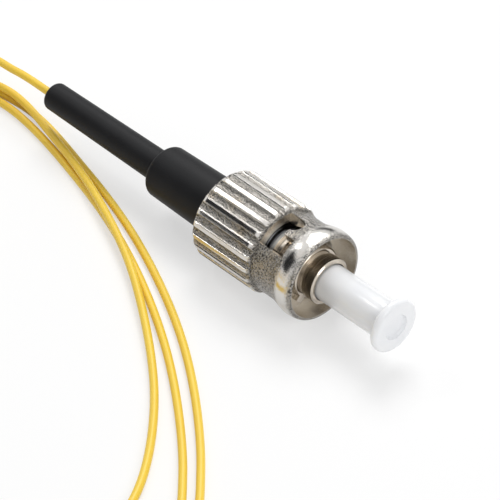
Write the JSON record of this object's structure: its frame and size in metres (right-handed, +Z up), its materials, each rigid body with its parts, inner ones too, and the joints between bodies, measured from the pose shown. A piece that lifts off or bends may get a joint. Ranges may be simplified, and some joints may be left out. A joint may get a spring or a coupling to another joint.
{
  "type": "fibre optic connector",
  "caption": "Single-fibre bayonet connector with ceramic ferrule, sprung coupling nut, boot and dust cap, on a buffered fibre pigtail.",
  "frame": {"origin": "floor point below the middle of the connector, cord left out", "axes": "+X along the ferrule's axis towards the dust cap, +Z up, the connector lying on two ribs of its coupling nut"},
  "size_m": [0.0867, 0.0573, 0.0102],
  "materials": {
    "dust_cap": "moulded translucent polyethylene",
    "ferrule": "ground zirconia",
    "glass": "drawn silica",
    "epoxy": "cured adhesive",
    "plug_body": "turned and nickel plated",
    "nut": "die cast and nickel plated",
    "washers": "stamped steel",
    "spring": "coiled spring wire",
    "clip": "stamped spring steel",
    "guide_tube": "extruded tube",
    "crimp_sleeve": "drawn and nickel plated",
    "boot": "moulded, fine satin grain",
    "buffer": "extruded, satin"
  },
  "bodies": {
    "plug": {"plug_body": "plug_body", "ferrule": "ferrule", "glass_fibre": "glass", "epoxy_bead": "epoxy", "front_washer": "washers", "spring": "spring", "retaining_clip": "clip", "guide_tube": "guide_tube", "strain_tube": "guide_tube", "crimp_sleeve": "crimp_sleeve", "boot": "boot", "buffered_fibre": "buffer", "cord_run": "buffer", "cord_coil": "buffer"},
    "washer": {"thrust_washer": "washers"},
    "nut": {"coupling_nut": "nut"},
    "cap": {"dust_cap": "dust_cap"}
  },
  "joints": [
    {"name": "nut_travel", "type": "slide", "parent": "plug", "child": "washer", "axis": [1, 0, 0], "range_m": [0, 0.002], "stiffness_N_per_m": 600, "deforming": ["spring"]},
    {"name": "nut_spin", "type": "hinge", "parent": "washer", "child": "nut", "pos_m": [0.0045, 0, 0.00512], "axis": [1, 0, 0], "continuous": true},
    {"name": "cap_pull", "type": "slide", "parent": "plug", "child": "cap", "axis": [1, 0, 0], "range_m": [0, 0.012]}
  ]
}
